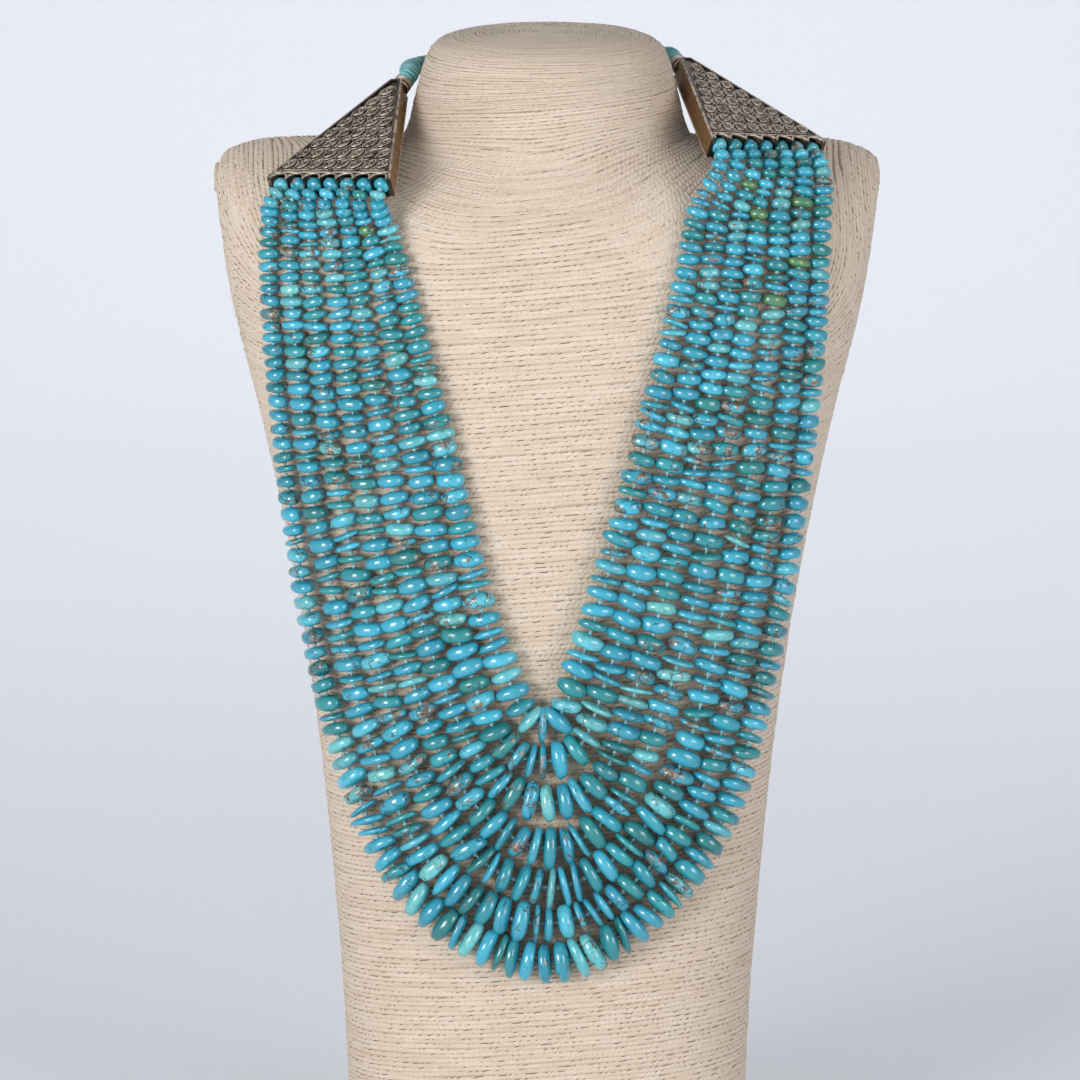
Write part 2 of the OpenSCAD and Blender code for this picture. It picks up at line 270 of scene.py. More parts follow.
def wire(name, lines, radius, rounds=1, ends=True):  # round wire along lines
    curve = bpy.data.curves.new(name, "CURVE")
    curve.dimensions = "3D"
    curve.bevel_depth = radius
    curve.bevel_resolution = rounds
    curve.use_fill_caps = ends
    for line in lines:
        spline = curve.splines.new("POLY")
        spline.points.add(len(line) - 1)
        for point, p in zip(spline.points, line):
            point.co = (*p, 1)
    piece = newPiece(name, curve)
    pickOnly(piece)
    bpy.ops.object.convert(target="MESH")
    return bpy.context.object


def aroundLine(line, radius, pitch, phase=0.0):  # a helix round a line
    turnsAt = runOf(line)
    helix = []
    side = None
    for k, p in enumerate(line):
        along = (line[min(k + 1, len(line) - 1)] - line[max(k - 1, 0)]).normalized()
        side = along.cross(Vector((0, 0, 1)) if side is None and abs(along.z) < 0.9
                           else (side or Vector((1, 0, 0))).cross(along)).normalized()
        up = side.cross(along)
        angle = 2 * math.pi * turnsAt[k] / pitch + phase
        helix.append(p + radius * (math.cos(angle) * side + math.sin(angle) * up))
    return helix


# neck cord: thread wrapped close round a core, from collar to collar
neckCord = {
    "route": [(-45, 17.5, 367), (-38.5, 28, 368), (-29, 35, 368), (-16, 39, 368),
              (0, 40, 368), (16, 39, 368), (29, 34.5, 369), (37, 27.5, 370)],
    "startsAt": 61.25, "lead": 4.5, "core": 2.45, "thread": 0.62, "threadPitch": 1.15,
    "threadLift": 0.05, "threadSteps": 14,  # how far the thread stands off, and its points a turn
    "deep": tint(42, 112, 116), "pale": tint(104, 184, 188), "fibre": tint(160, 212, 212),
}


def makeCordPaint():
    paint = Paint("wrappedCord")
    where = paint.places()
    patch = paint.grain(where, 260, 3.0)
    fibre = paint.grain(where, 2600, 2.0)
    colour = paint.over(neckCord["deep"], neckCord["pale"], patch, 0.35, 0.65)
    colour = paint.over(colour, neckCord["fibre"], fibre, 0.3, 0.7, 0.3)
    return paint.done({"Base Color": colour, "Roughness": 0.55, "Sheen Weight": 0.3,
                       "Normal": paint.bump(fibre, 0.5, 0.0002)})


def makeNeckCord():
    middle = caps["thick"] / 2
    ends = [[place[side] @ Vector((0, neckCord["startsAt"] + far, middle))
             for far in (0, neckCord["lead"])] for side in ("left", "right")]
    route = ends[0] + [Vector(p) * mm for p in neckCord["route"]] + ends[1][::-1]
    line = roundCurve(route, 6)
    core = wire("cordCore", [line], neckCord["core"] * mm, 2)
    pitch = neckCord["threadPitch"] * mm
    fine = evenly(line, pitch / neckCord["threadSteps"])
    helix = aroundLine(fine, (neckCord["core"] + neckCord["threadLift"]) * mm, pitch)
    wrap = wire("cordWrap", [helix], neckCord["thread"] * mm, 0)
    cord = joined([core, wrap], "neckCord")
    coat(cord, makeCordPaint())
    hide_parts("neck_cord")
    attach(cord, "root")
    runOf(line)[-1]
    print(f"neck cord made, {runOf(line)[-1] * 1000:.0f} mm long")


makeNeckCord()

# bust: a core inside close windings of paper twine
bustSkin = BVHTree.FromPolygons([v.co.copy() for v in nodes["bust"].data.vertices],
                                [tuple(f.vertices) for f in nodes["bust"].data.polygons])
twine = {
    "pitch": 0.0016,      # from one winding to the next
    "fineFrom": 0.358,    # windings lie half as far apart above this
    "flat": 0.6, "fineFlat": 0.95,  # how deep a winding is, as a share of its width
    "step": 0.005, "fineStep": 0.0018,  # between the points of a winding, and of a coil
    "proud": 0.00035,     # how far the windings stand above the frame's surface
    "wander": 0.0002,    # how far a winding strays sideways
    "overlap": 0.8,       # a winding's radius as a share of the room it has
    "uneven": 0.0002, "fuller": 0.14, "rowFuller": 0.05,  # and how its height and radius vary
    "thinnest": 0.0005, "widest": 0.0022,  # radii
    "least": 0.0015,      # width of a winding between extra ones
    "extraFrom": 0.0020,  # an extra winding shows where the whole ones are this far apart
    "lapFrom": 0.0017,    # and its sunk ends reach back to where they are this far apart
    "plyLength": 0.0036,  # length of one turn of its two plies
    # the painted shade of the gaps between windings, drawn as dark slits: sizes as shares of a ply's
    # turn and of a winding's width
    "slitLong": 0.3, "slitWide": 0.036, "slitAt": 0.362, "slitSlant": -0.2, "slitShift": 0.618,
    "coreDepth": 0.0015, "baseUpTo": 0.003,
    "light": tint(218, 203, 186), "middle": tint(206, 188, 168), "dark": tint(172, 150, 124),
    # gap is painted shade for the gaps between windings
    "gap": tint(98, 76, 57), "core": tint(196, 176, 152), "groove": tint(170, 148, 122),
    "coilWide": 0.0014, "coilSteps": 26,  # a coil's twine, and the points of one turn
    "coilReach": 0.0048, "coilTurns": 3, "coilLift": 0.0003,  # on a shoulder's side
    "topReach": (0.0138, 0.0103), "topHeight": 0.3794, "topTurns": 9,  # on the neck
    "patchRows": 5, "patchHalf": 0.009, "patchPitch": 0.0014, "patchSunk": 0.0003,
    "spotStep": 0.002, "patchRange": (135, 151), "coilRange": (153, 168),  # heights in such steps
    "endSunk": 0.0008,    # how far the ends of an open winding go in
    "bodyTo": 0.17, "chestTo": 0.345,  # where one piece of windings ends and the next begins
}
lay = {  # how the windings run, in metres: a pair says where a change starts and how long it takes
    "corner": 4, "shoulder": 0.62, "neckRise": (0.315, 0.045), "neckSide": (0.046, 0.029),
    "tilt": 0.075, "tiltStarts": (0, 0.04), "moreTilt": 0.06, "tiltGrows": (0.28, 0.06),
    "tiltEnds": (0.355, 0.022),
}
neckBase, slopeFrom, slopeTo, topSlope = 0.345, 0.345, 0.370, 0.14
# height of a ring of the neck, and the length along its profile up to there
neckProfile = [(0, 0), (0.357, 0.357), (0.364, 0.3641), (0.370, 0.3702), (0.3745, 0.3751),
               (0.3772, 0.3795), (0.3788, 0.3864), (0.3794, 0.3989)]


def alongProfile(height):
    for (a, lengthA), (b, lengthB) in zip(neckProfile, neckProfile[1:]):
        if height <= b:
            return lengthA + (lengthB - lengthA) * (height - a) / (b - a)
    return neckProfile[-1][1]


def windingHeight(p):  # where the winding through a point crosses the middle of the chest
    lean = topSlope * p.y / (slopeTo - slopeFrom)
    ring = p.z if p.z < slopeFrom else (p.z + lean * slopeFrom) / (1 + lean)
    if ring > slopeTo:
        ring = p.z - topSlope * p.y
    below, corner = max(neckBase - p.z, 0), lay["corner"]
    chest = neckBase - (below ** corner + (lay["shoulder"] * abs(p.x)) ** corner) ** (1 / corner)
    onNeck = ramp(p.z, *lay["neckRise"]) * (1 - ramp(abs(p.x), *lay["neckSide"]))
    height = chest + (alongProfile(ring) - chest) * onNeck
    tilt = lay["tilt"] + lay["moreTilt"] * ramp(p.z, *lay["tiltGrows"])
    tilt *= ramp(p.z, *lay["tiltStarts"]) * (1 - ramp(ring, *lay["tiltEnds"]))
    return height - tilt * p.x


def steepness(corners, heights):
    ab, ac = corners[1] - corners[0], corners[2] - corners[0]
    square = ab.cross(ac)
    area = square.length
    if area < 1e-12:
        return 1
    up = square / area
    slope = ((heights[1] - heights[0]) * ac.cross(up) + (heights[2] - heights[0]) * up.cross(ab))
    return slope.length / area


def isFine(row):
    return row / 4 * twine["pitch"] > twine["fineFrom"]


def traceWindings(mesh):  # closed lines of equal windingHeight over the bust
    heights = [windingHeight(v.co) + 1e-8 * (v.index % 7) for v in mesh.vertices]
    rows = {}
    for face in mesh.polygons:
        index = list(face.vertices)
        level = [heights[i] for i in index]
        slope = steepness([mesh.vertices[i].co for i in index], level)
        first = math.ceil(4 * min(level) / twine["pitch"]) - 2
        final = math.floor(4 * max(level) / twine["pitch"]) - 2
        for row in range(max(first, 0), final + 1):  # every fourth row is a whole winding
            cut = (row + 2) / 4 * twine["pitch"]
            ends = []
            for i, j in zip(index, index[1:] + index[:1]):
                if (heights[i] < cut) != (heights[j] < cut):
                    ends.append((min(i, j), max(i, j)))
            if len(ends) != 2:
                continue
            book = rows.setdefault(row, {"links": {}, "places": {}})
            for end, far in (ends, ends[::-1]):
                book["links"].setdefault(end, []).append(far)
                i, j = end
                share = (cut - heights[i]) / (heights[j] - heights[i])
                a, b = mesh.vertices[i], mesh.vertices[j]
                known = book["places"].get(end)
                wide = twine["pitch"] / max(slope, 0.12) / (2 if isFine(row) else 1)
                book["places"][end] = (a.co.lerp(b.co, share), a.normal.lerp(b.normal, share),
                                       wide if known is None else (wide + known[2]) / 2)
    loops = []
    for row in sorted(rows):
        links, places = rows[row]["links"], rows[row]["places"]
        left = set(links)
        for start in sorted(links):
            if start not in left:
                continue
            loop, here = [], start
            while here is not None:
                left.discard(here)
                loop.append(places[here])
                here = next((far for far in links[here] if far in left), None)
            if len(loop) > 5:
                turning = sum(a[0].x * b[0].y - a[0].y * b[0].x for a, b in zip(loop, loop[1:]))
                loops.append((row, loop if turning > 0 else loop[::-1]))
    return loops


def eased(values):  # each drawn halfway to the mean of its two neighbours
    count = len(values)
    return [(values[k - 1] + 2 * values[k] + values[(k + 1) % count]) / 4 for k in range(count)]


def evenLoop(loop, closed, step=twine["step"]):  # places, normals and widths at even steps
    line = [p for p, n, w in loop] + ([loop[0][0]] if closed else [])
    rest = [(n, w) for p, n, w in loop] + ([loop[0][1:]] if closed else [])
    run = runOf(line)
    count = max(16, round(run[-1] / step))
    points, normals, widths, i = [], [], [], 0
    for k in range(count):
        s = run[-1] * k / (count if closed else count - 1)
        while i < len(run) - 2 and run[i + 1] < s:
            i += 1
        share = min(1, (s - run[i]) / max(run[i + 1] - run[i], 1e-9))
        points.append(line[i].lerp(line[i + 1], share))
        normals.append(rest[i][0].lerp(rest[i + 1][0], share))
        widths.append(rest[i][1] + (rest[i + 1][1] - rest[i][1]) * share)
    for again in range(3 if closed else 0):
        points, widths = eased(points), eased(widths)
        normals = [n.normalized() for n in eased(normals)]
    return points, normals, widths, run[-1]


# a winding's number: 0 for the coil on the neck, 1 and 2 for those on the shoulders' sides,
# then the windings from the base up, and last the short ones
lastCoil, firstShort = 2, 2000
ringAngles = [math.radians(a) for a in (-112, -68, -23, 23, 68, 112)]


def spliced(loop, row):  # the stretches of an extra winding where the whole ones lie wide apart
    points, normals, widths, _ = evenLoop(loop, True)
    wide = twine["lapFrom"] * (1 if row % 2 == 0 or isFine(row) else 2)
    count = len(points)
    keep = [w > wide for w in widths]
    if all(keep) or not any(keep):
        return [(loop, True)] if all(keep) else []
    start = next(k for k in range(count) if not keep[k])
    parts, part = [], []
    for k in range(start, start + count + 1):
        k %= count
        if keep[k]:
            part.append((points[k], normals[k], widths[k]))
        else:
            if len(part) > 2:
                parts.append((part, False))
            part = []
    return parts


def windTwine(name, windings):
    verts, faces, uvs = [], [], []
    sides = len(ringAngles)
    for number, fine, (loop, closed) in windings:
        coiled = number <= lastCoil
        step = twine["fineStep" if coiled else "step"]
        points, normals, widths, length = evenLoop(loop, closed, step)
        count = len(points)
        extra = not closed and lastCoil < number < firstShort
        shares = [1 if w < twine["extraFrom"] and not extra else
                  0.5 if fine or w < 2 * twine["extraFrom"] else 0.25 for w in widths]
        widths = [w if share == 1 else max(w * share, twine["least"])
                  for w, share in zip(widths, shares)]
        flat = twine["fineFlat"] if fine else twine["flat"]
        for again in range(3):
            widths = eased(widths)
        plies = max(1, round(length / twine["plyLength"])) / count
        base = len(verts)
        for k, (p, n, w) in enumerate(zip(points, normals, widths)):
            ahead = points[(k + 1) % count] if closed else points[min(k + 1, count - 1)]
            back = points[k - 1] if closed else points[max(k - 1, 0)]
            along = (ahead - back).normalized()
            across = along.cross(n).normalized()
            odd = Vector((number * 5.3, number * 1.7, 0))
            stray = noise.noise(p * 55 + odd) * twine["wander"] * 2
            full = (1 + twine["fuller"] * noise.noise(p * 75 + odd * 2)
                    + twine["rowFuller"] * math.sin(number * 12.9898))
            radius = min(twine["widest"], max(twine["thinnest"], twine["overlap"] * w)) * full
            ends = 0 if closed or coiled else max(0, 1 - min(k, count - 1 - k) / 2)
            lift = twine["proud"] - radius * flat - twine["endSunk"] * ends
            lift += twine["uneven"] * noise.noise(p * 60 - odd)
            middle = p + n * lift + across * stray
            for angle in ringAngles:
                verts.append(middle + radius * (flat * math.cos(angle) * n + math.sin(angle) * across))
        for k in range(count if closed else count - 1):
            here, there = base + k * sides, base + (k + 1) % count * sides
            for i in range(sides):
                j = (i + 1) % sides
                faces.append((here + i, here + j, there + j, there + i))
                low = 0.02 + 0.96 * i / (sides - 1)
                high = low if j == 0 else 0.02 + 0.96 * j / (sides - 1)
                for u, v in ((k, low), (k, high), (k + 1, high), (k + 1, low)):
                    uvs += [u * plies, number + v]
        if not closed:
            faces.append([base + i for i in range(sides)][::-1])
            faces.append([base + (count - 1) * sides + i for i in range(sides)])
            uvs += [0, number + 0.02] * (2 * sides)
    mesh = bpy.data.meshes.new(name)
    mesh.from_pydata([tuple(v) for v in verts], [], faces)
    layer = mesh.uv_layers.new(name="wound")
    layer.data.foreach_set("uv", uvs)
    piece = newPiece(name, mesh)
    pickOnly(piece)
    bpy.ops.object.shade_smooth()
    return piece


def makeTwinePaint():
    paint = Paint("paperTwine")
    u = paint.add("ShaderNodeSeparateXYZ", {}, {0: paint.add("ShaderNodeUVMap", {"uv_map": "wound"})})
    v = u.other("Y")
    row = v.single("FLOOR")
    across = v - row
    edge = (across - 0.5).single("ABSOLUTE") * 2
    # two plies, twisted: slanting grooves along the winding
    plies = ((u + across * 0.9) * (4 * math.pi)).single("SINE")
    own = paint.add("ShaderNodeCombineXYZ", {}, {0: u, 1: row * 7.31, 2: row * 3.7})
    # painted shade of the gaps between windings: slanting lens-shaped dark slits on one side, about one
    # for each turn of the plies
    drift = paint.grain(own, 0.6, 1.0) * 3.4
    offMiddle = (u + drift + row * twine["slitShift"]).single("FRACT") - 0.5
    strong = paint.ranged(paint.grain(own, 0.83, 0.0), 0.25, 0.6)
    lens = strong * 1.15 - offMiddle * offMiddle / twine["slitLong"] ** 2
    off = (across - twine["slitAt"] - offMiddle * twine["slitSlant"]).single("ABSOLUTE")
    gapShade = paint.ranged(lens * twine["slitWide"] - off, -0.006, 0.014)
    drawn = paint.add("ShaderNodeCombineXYZ", {}, {0: u * 3, 1: across * 22, 2: row * 5})
    fibres = paint.grain(drawn, 1.0, 3.0, 0.6)
    broad = paint.grain(paint.places(), 9)
    colour = paint.over(twine["middle"], twine["light"], paint.grain(own, 0.22), 0.3, 0.7)
    colour = paint.over(colour, twine["dark"], fibres, 0.35, 0.75, 0.55)
    colour = paint.over(colour, twine["light"], broad, 0.3, 0.7, 0.25)
    # painted shade: darker towards both edges of each winding, in the valleys between windings
    colour = paint.over(colour, twine["dark"], edge, 0.16, 0.42, 0.5)
    return paint.done({"Base Color": paint.mix(gapShade, colour, twine["gap"]), "Roughness": 0.78,
                       "Sheen Weight": 0.12, "Specular IOR Level": 0.3,
                       "Normal": paint.bump(plies * 0.28 + fibres, 0.7, 0.0003)})


def makeCorePaint():
    paint = Paint("bustCore")
    fine = paint.grain(paint.places(), 900, 3.0)
    return paint.done({"Base Color": paint.over(twine["core"], twine["groove"], fine, 0.3, 0.7, 0.6),
                       "Roughness": 0.9, "Normal": paint.bump(fine, 0.4, 0.0003)})


def sidePoint(side, y, z):
    hit = bustSkin.ray_cast(Vector((0.3 * side, y, z)), Vector((-side, 0, 0)))
    return hit[0], hit[1]


def flattest(side, low, high):  # where windingHeight changes least on a shoulder's side
    step = twine["spotStep"]

    def slope(at):
        near = [windingHeight(sidePoint(side, at[0] + dy, at[1] + dz)[0])
                for dy, dz in ((step, 0), (-step, 0), (0, step), (0, -step))]
        return math.hypot(near[0] - near[1], near[2] - near[3])
    return min(((step * j, step * i) for i in range(low, high) for j in range(-10, 8)), key=slope)


def coil(spotAt, turns):  # from the rim of a round spot to its middle
    line, count = [], turns * twine["coilSteps"]
    for k in range(count):
        share, angle = 1 - k / count, 2 * math.pi * k / twine["coilSteps"]
        line.append((*spotAt(share * math.cos(angle), share * math.sin(angle)), twine["coilWide"]))
    return line, False


def neckTop(x, y):
    wide, deep = twine["topReach"]
    up = Vector((0, -topSlope, 1)).normalized()
    return Vector((wide * x, deep * y, twine["topHeight"] + topSlope * deep * y)), up


def fillFlatSpot(side):  # short windings where the whole ones leave a spot bare
    middleY, middleZ = flattest(side, *twine["patchRange"])
    lines = []
    for i in range(-twine["patchRows"], twine["patchRows"] + 3):
        line = []
        for j in range(-4, 5):
            spot, normal = sidePoint(side, middleY + j * twine["patchHalf"] / 4,
                                     middleZ + i * twine["patchPitch"])
            line.append((spot - normal * twine["patchSunk"], normal, twine["patchPitch"]))
        lines.append(line)
    print(f"bare spot at {middleY * 1000:.0f}, {middleZ * 1000:.0f} mm filled")
    return lines


def makeBust():
    core = newPiece("bustCore", nodes["bust"].data.copy())
    pickOnly(core)
    with editing():
        bpy.ops.mesh.remove_doubles(threshold=1e-5)
        bpy.ops.mesh.quads_convert_to_tris()
    bpy.ops.object.shade_smooth()
    loops = traceWindings(core.data)
    shrink = core.modifiers.new("shrink", "DISPLACE")
    shrink.strength = -twine["coreDepth"]
    shrink.mid_level = 0
    bpy.ops.object.modifier_apply(modifier="shrink")
    for v in core.data.vertices:
        if v.co.z < twine["baseUpTo"]:
            v.co.z = 0
    coat(core, makeCorePaint())
    groups = {"twineBody": [], "twineChest": [], "twineNeck": []}
    for number, (row, loop) in enumerate(loops, lastCoil + 1):
        height = row / 4 * twine["pitch"]
        name = ("twineBody" if height < twine["bodyTo"] else
                "twineChest" if height < twine["chestTo"] else "twineNeck")
        whole = row % (2 if isFine(row) else 4) == 0
        for part in [(loop, True)] if whole else spliced(loop, row):
            groups[name].append((number, isFine(row), part))
    for side in (-1, 1):
        for i, line in enumerate(fillFlatSpot(side)):
            groups["twineChest"].append((firstShort + 40 + 20 * side + i, False, (line, False)))
    groups["twineNeck"].append((0, True, coil(neckTop, twine["topTurns"])))
    for number, side in ((1, -1), (2, 1)):
        middleY, middleZ = flattest(side, *twine["coilRange"])
        print(f"coil at {middleY * 1000:.0f}, {middleZ * 1000:.0f} mm")

        def shoulderSide(x, y):
            spot, normal = sidePoint(side, middleY + twine["coilReach"] * x,
                                     middleZ + twine["coilReach"] * y)
            return spot + normal * twine["coilLift"], normal
        groups["twineChest"].append((number, True, coil(shoulderSide, twine["coilTurns"])))
    paint = makeTwinePaint()
    for name, windings in groups.items():
        piece = windTwine(name, windings)
        coat(piece, paint)
        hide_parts("bust")
        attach(piece, "root")
        print(name, len(windings), "windings,", 2 * len(piece.data.polygons), "triangles")
    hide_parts("bust")
    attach(core, "root")


makeBust()
print("bust wound")

# caps: darkened silver with twisted wire, rings and grains on the CAD solids
silver = {
    # the two wall colours are a painted reflection of the beige twine in the silver side walls
    "dark": tint(50, 43, 40), "worn": tint(206, 192, 176), "warm": tint(98, 82, 68),
    "reflectedTwine": tint(172, 138, 98), "brown": tint(138, 108, 78), "strip": 0.3,
    "motifRows": 8, "motifPitch": 4.85, "rimHeight": 4.2, "fieldTop": 4.5,
    "motifTilt": 62, "motifLift": 0.48,
    "outerRing": (4.78, 2.98, 0.31, 22, 6), "innerRing": (3.2, 1.8, 0.2, 14, 5, 0.02),
    "lattice": (6.3, 4.6, 0.24, 24, 5, -0.4), "eye": 0.34, "eyeSize": (1.5, 0.8, 0.9),
    "grain": 0.3, "grainLift": 0.08, "grainsAt": ((2.35, -1.6), (2.35, 1.4), (-0.2, 2.95)),
    "twist": 0.3, "twistPitch": 1.5, "edgeWire": 0.3, "collarWire": 0.42,
    "scallopRadius": 2.95, "scallopWire": 0.36,
}


def makeSilverPaint(name, polish):
    paint = Paint(name)
    where = paint.places()
    patch = paint.grain(where, 420, 4.0, 0.6)
    speck = paint.grain(where, 2400)
    wear = paint.ranged(patch + (speck - 0.5) * 0.5, 0.62 - polish, 0.86 - polish * 0.6)
    colour = paint.over(silver["dark"], silver["warm"], paint.grain(where, 150), 0.35, 0.7)
    return paint.done({"Base Color": paint.mix(wear, colour, silver["worn"]), "Metallic": 1.0,
                       "Roughness": paint.ranged(patch, 0.3, 0.8, 0.30 + 0.1 * (1 - polish), 0.52),
                       "Normal": paint.bump(speck + patch, 0.35, 0.00012)})


def makeWallReflectionPaint():
    paint = Paint("paintedWallReflection")
    patch = paint.grain(paint.places(), 300, 4.0, 0.6)
    # painted reflection: golden brown for the beige twine mirrored in the silver walls
    return paint.done({"Base Color": paint.over(silver["reflectedTwine"], silver["brown"], patch, 0.35, 0.65),
                       "Metallic": 1.0, "Roughness": paint.ranged(patch, 0.3, 0.7, 0.38, 0.55),
                       "Normal": paint.bump(patch, 0.3, 0.00012)})


def ringOf(length, width, radius, along, around, lift=0.0):  # an oval of even wire
    bpy.ops.mesh.primitive_torus_add(major_segments=along, minor_segments=around,
                                     major_radius=1, minor_radius=radius / (width / 2))
    ring = bpy.context.object
    for v in ring.data.vertices:
        spoke = Vector((v.co.x, v.co.y, 0)).normalized()
        out = math.hypot(v.co.x, v.co.y) - 1
        v.co = (Vector((spoke.x * length / 2, spoke.y * width / 2, lift)) + spoke * out * width / 2
                + Vector((0, 0, v.co.z * width / 2)))
    return ring


def makeMotif():
    rings = [ringOf(*silver[kind]) for kind in ("outerRing", "innerRing", "lattice")]
    bpy.ops.mesh.primitive_uv_sphere_add(segments=8, ring_count=5, radius=silver["eye"])
    eye = bpy.context.object
    with editing():
        bpy.ops.transform.resize(value=silver["eyeSize"])
    motif = joined(rings + [eye], "motif")
    with editing():
        bpy.ops.mesh.normals_make_consistent(inside=False)
    return motif


def twistedPair(start, end, radius):
    line = evenly([Vector(start), Vector(end)], 0.16)
    return [aroundLine(line, radius * 0.95, silver["twistPitch"], phase) for phase in (0, math.pi)]


def makeFiligree(side, motif, paint, brightPaint):
    top, high, rows, rim = caps["thick"], caps["height"], silver["motifRows"], silver["rimHeight"]
    bpy.ops.mesh.primitive_ico_sphere_add(subdivisions=1, radius=silver["grain"])
    ball = bpy.context.object
    turn = Matrix.Rotation(math.radians(silver["motifTilt"]), 4, "Z")
    parts = []
    for row in range(rows):
        for i in range(rows - row):
            x = (i - (rows - 1 - row) / 2) * silver["motifPitch"]
            y = rim + (row + 0.5) * ((high - rim - silver["fieldTop"]) / rows)
            spot = Matrix.Translation((x, y, top + silver["motifLift"]))
            parts.append(copyOf(motif, "motif", spot @ turn))
            for dx, dy in silver["grainsAt"]:
                if row + i < rows - 1 or dx < 0:
                    spot = (x + dx, y + dy, top + silver["grainLift"])
                    parts.append(copyOf(ball, "grain", Matrix.Translation(spot)))
    bpy.data.objects.remove(ball)
    half, tip = caps["width"] / 2, caps["tipWidth"] / 2
    pairs = []
    for sign in (-1, 1):
        foot, peak = (sign * (half - 0.35), 0.5, top), (sign * (tip - 0.1), high - 0.4, top)
        pairs += twistedPair(foot, peak, 0.3)
    ends = [(sign * (half - 3.2), rim - 0.35, top + 0.25) for sign in (-1, 1)]
    pairs += twistedPair(*ends, 0.26)
    parts.append(wire("twisted", pairs, silver["twist"], 0))
    filigree = joined(parts, side + "Filigree")
    bright, reach = [], silver["scallopRadius"]
    for number in range(7):
        middle = (number - 3) * caps["holePitch"]
        for z in (top + 0.02, 0.1):
            bright.append([(middle + reach * math.cos(math.radians(a)),
                            -0.4 + reach * math.sin(math.radians(a)), z) for a in range(4, 177, 12)])
    scallops = wire("scallops", bright, silver["scallopWire"])
    lines = [[(sign * half, 0, z), (sign * tip, high, z)]
             for sign in (-1, 1) for z in (0.2, top - 0.15)]
    lines.append([(1.2 - half, rim - 1.15, top + 0.1), (half - 1.2, rim - 1.15, top + 0.1)])
    edges = wire("edges", lines, silver["edgeWire"])
    r, neck = caps["collarRadius"] - 0.05, high + caps["collarLength"]
    circle = [2 * math.pi * k / 28 for k in range(29)]
    collar = wire("collar", [[(r * math.cos(a), y, top / 2 + r * math.sin(a)) for a in circle]
                             for y in (high + 0.5, neck - 1.35, neck - 0.4)],
                  silver["collarWire"], ends=False)
    rims = joined([scallops, edges, collar], side + "Rims")
    for piece, look in ((filigree, paint), (rims, brightPaint)):
        piece.data.transform(place[side])
        coat(piece, look)
        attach(piece, "root")
    print(filigree.name, len(filigree.data.polygons), "faces")


def makeWalls(side, paint):  # a thin strip on each of a cap's sloping walls, golden brown as a painted reflection of the beige twine in the silver
    half, tip, high, top = caps["width"] / 2, caps["tipWidth"] / 2, caps["height"], caps["thick"]
    strips = []
    for sign in (-1, 1):
        foot, peak = Vector((sign * half, 0, 0)), Vector((sign * tip, high, 0))
        slope = peak - foot
        bpy.ops.mesh.primitive_cube_add(size=1)
        strip = bpy.context.object
        strip.data.transform(Matrix.Translation((foot + peak) / 2 + Vector((0, 0, top / 2)))
                             @ Matrix.Rotation(math.atan2(slope.y, slope.x), 4, "Z")
                             @ Matrix.Diagonal((slope.length - 0.4, silver["strip"], top - 1.0, 1)))
        strips.append(strip)
    walls = joined(strips, side + "Walls")
    bpy.ops.object.shade_flat()
    walls.data.transform(place[side])
    coat(walls, paint)
    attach(walls, "root")


def makeCaps():
    sheet = makeSilverPaint("darkSilver", 0.0)
    wirePaint = makeSilverPaint("silverWire", 0.36)
    bright = makeSilverPaint("wornSilver", 0.46)
    reflectedTwine = makeWallReflectionPaint()
    motif = makeMotif()
    for side in ("left", "right"):
        coat(nodes[side + "_cap"], sheet)
        makeFiligree(side, motif, wirePaint, bright)
        makeWalls(side, reflectedTwine)
    bpy.data.objects.remove(motif)


makeCaps()
print("caps dressed")

# strings: routes over the chest in millimetres, across and up, as in the part's source
routes = [
    [(-89, 317), (-89, 300), (-87, 265), (-83.5, 230), (-78, 196), (-70.5, 162), (-59, 128.5),
     (-43.2, 102.8), (-23, 88), (1, 81), (22, 89), (42, 105.5), (58, 129), (68, 161.5),
     (75.5, 196), (81, 230), (85, 265), (87, 300), (88, 322)],
    [(-82, 317), (-82, 300), (-79, 262), (-75, 228), (-68, 196), (-60.5, 163), (-48, 130),
     (-35.5, 111), (-18, 98.5), (0, 94.5), (17, 99.5), (33.5, 113), (48.2, 132.4), (58.5, 163),
     (66, 196), (72, 228), (77, 262), (80, 300), (81, 322)],
    [(-76, 317), (-75, 300), (-71, 262), (-66, 228), (-59, 196), (-51, 165), (-43.5, 146.5),
     (-31.5, 126), (-16, 111.5), (1, 106.5), (14, 110.5), (28.5, 122.5), (41, 141),
     (49.5, 165.5), (56.5, 196), (63, 228), (68, 262), (73, 300), (74, 322)],
    [(-69.3, 317), (-67, 300), (-62.5, 262), (-57, 228), (-50, 196), (-40.5, 165.5),
     (-32.5, 147.5), (-23.5, 134), (-12, 123.5), (1, 119.5), (13, 123.5), (25, 137),
     (35.2, 159), (45.5, 192), (53, 226), (59, 262), (65, 300), (67, 322)],
    [(-62.7, 317), (-60, 300), (-54, 262), (-48, 228), (-41, 196), (-31, 166.5), (-23, 150.5),
     (-12.5, 138.5), (1, 134.5), (13.5, 138.5), (22.3, 152), (28.5, 171.5), (36.5, 198),
     (44, 228), (51, 262), (58, 300), (61, 322)],
    [(-56.5, 317), (-52, 300), (-45, 262), (-38, 228), (-31, 196), (-21, 167), (-15, 155.5),
     (-7.5, 149), (4, 149), (12, 155), (18, 172), (26, 197), (35, 228), (43, 262), (51, 300),
     (54, 322)],
    [(-50, 317), (-45, 300), (-36, 262), (-28, 228), (-21, 197), (-12, 174), (-8.5, 166),
     (-4, 161), (2, 161), (6, 166), (8.5, 174.5), (15, 194), (25, 228), (34, 262), (43, 300),
     (47, 322)],
]
